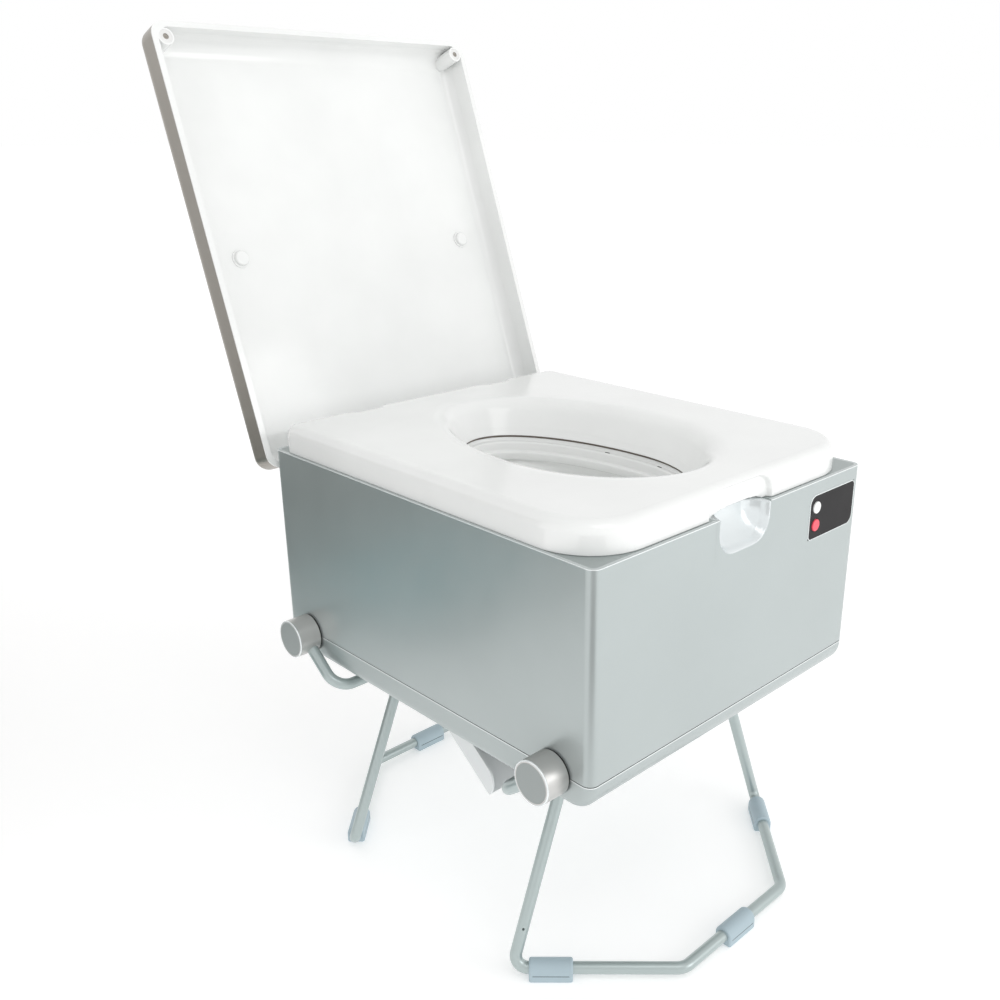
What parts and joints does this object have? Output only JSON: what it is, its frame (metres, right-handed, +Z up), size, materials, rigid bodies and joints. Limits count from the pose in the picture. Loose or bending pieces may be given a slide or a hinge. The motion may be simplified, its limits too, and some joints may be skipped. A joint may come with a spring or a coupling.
{
  "type": "sealing toilet",
  "caption": "Portable sealing toilet: box casing with film cassette under a hinged seat and lid, on folding tube legs.",
  "frame": {"origin": "on the floor, under the middle of the whole object's box as it stands with its lid open", "axes": "+Z up, +X to the right seen from the front, -Y towards the front where the buttons are"},
  "size_m": [0.4426, 0.6709, 0.862],
  "materials": {
    "grey_shell": "satin grey-green paint",
    "white_gloss": "glossy white moulding",
    "silver_shell": "fine silver metallic paint",
    "dark_plastic": "near-black matt moulding",
    "light_grey_plastic": "light grey fine-grained moulding",
    "red_plastic": "red push button",
    "leg_tube": "smooth silver lacquer over tube",
    "hub_grey": "mid-grey cap",
    "foot_plastic": "pale blue-grey moulding",
    "rubber": "soft dark rubber",
    "flap_plastic": "milky translucent moulding",
    "film": "thin pale barrier film",
    "steel": "bright steel",
    "aluminium": "machined aluminium",
    "brass": "turned brass",
    "board": "green circuit board"
  },
  "bodies": {
    "housing": {"outer_casing": "grey_shell", "rim_trim": "white_gloss", "seam_strip": "dark_plastic", "base_tray": "grey_shell", "top_deck": "light_grey_plastic", "film_cassette": "white_gloss", "bowl_funnel": "light_grey_plastic", "film_liner": "film", "finger_scoop": "silver_shell", "control_panel": "dark_plastic", "control_board": "board", "power_inlet": "dark_plastic", "hinge_brackets": "steel", "hinge_pins": "steel", "pivot_brackets": "dark_plastic", "pivot_shafts": "steel", "pivot_washers": "dark_plastic", "leg_stop_pads": "rubber", "flap_hinge_pin": "steel", "seal_frame": "aluminium", "guide_rods": "steel", "heater_bar": "aluminium", "heater_strip": "brass", "drive_motor": "steel", "battery_pack": "dark_plastic"},
    "front_legs": {"front_leg_frame": "leg_tube", "front_leg_hubs": "leg_tube", "front_hub_discs": "hub_grey", "front_left_foot_clip": "foot_plastic", "front_centre_foot_clip": "foot_plastic", "front_right_foot_clip": "foot_plastic"},
    "rear_legs": {"rear_leg_frame": "leg_tube", "rear_leg_hubs": "leg_tube", "rear_hub_discs": "hub_grey", "rear_left_foot_clip": "foot_plastic", "rear_centre_foot_clip": "foot_plastic", "rear_right_foot_clip": "foot_plastic"},
    "lid": {"lid_shell": "silver_shell", "lid_liner": "white_gloss", "post_magnets": "steel", "lid_bumpers": "white_gloss", "lid_leaves": "steel"},
    "seat": {"seat": "white_gloss"},
    "white_button": {"white_button": "white_gloss"},
    "red_button": {"red_button": "red_plastic"},
    "discharge_flap": {"discharge_flap": "flap_plastic"},
    "press_jaw": {"press_jaw": "aluminium", "jaw_pad": "rubber", "lead_screw": "steel"},
    "nut_gear": {"nut_gear": "brass"},
    "motor_pinion": {"motor_pinion": "brass"}
  },
  "joints": [
    {"name": "front_leg_fold", "type": "hinge", "parent": "housing", "child": "front_legs", "pos_m": [0, -0.262, 0.254], "axis": [-1, 0, 0], "range_deg": [0, 180]},
    {"name": "rear_leg_fold", "type": "hinge", "parent": "housing", "child": "rear_legs", "pos_m": [0, 0.106, 0.254], "axis": [1, 0, 0], "range_deg": [0, 130]},
    {"name": "lid_hinge", "type": "hinge", "parent": "housing", "child": "lid", "pos_m": [0, 0.144, 0.44], "axis": [1, 0, 0], "range_deg": [0, 109.67]},
    {"name": "seat_hinge", "type": "hinge", "parent": "housing", "child": "seat", "pos_m": [0, 0.144, 0.44], "axis": [1, 0, 0], "range_deg": [-109.67, 0]},
    {"name": "white_button_press", "type": "slide", "parent": "housing", "child": "white_button", "axis": [0, 1, 0], "range_m": [0, 0.0015], "stiffness_N_per_m": 400},
    {"name": "red_button_press", "type": "slide", "parent": "housing", "child": "red_button", "axis": [0, 1, 0], "range_m": [0, 0.0015], "stiffness_N_per_m": 400},
    {"name": "discharge_flap_hinge", "type": "hinge", "parent": "housing", "child": "discharge_flap", "pos_m": [0, -0.034, 0.232], "axis": [-1, 0, 0], "range_deg": [0, 37.8]},
    {"name": "jaw_slide", "type": "slide", "parent": "housing", "child": "press_jaw", "axis": [0, 1, 0], "range_m": [0, 0.014]},
    {"name": "nut_gear_spin", "type": "hinge", "parent": "housing", "child": "nut_gear", "pos_m": [0, -0.174, 0.28], "axis": [0, 1, 0], "range_deg": [0, 506]},
    {"name": "pinion_spin", "type": "hinge", "parent": "housing", "child": "motor_pinion", "pos_m": [0.0243, -0.174, 0.28], "axis": [0, 1, 0], "range_deg": [-1518, 0]}
  ],
  "couplings": [
    {"joint": "nut_gear_spin", "follows": "jaw_slide", "rad_per_m": 628.32},
    {"joint": "pinion_spin", "follows": "jaw_slide", "rad_per_m": -1885}
  ]
}
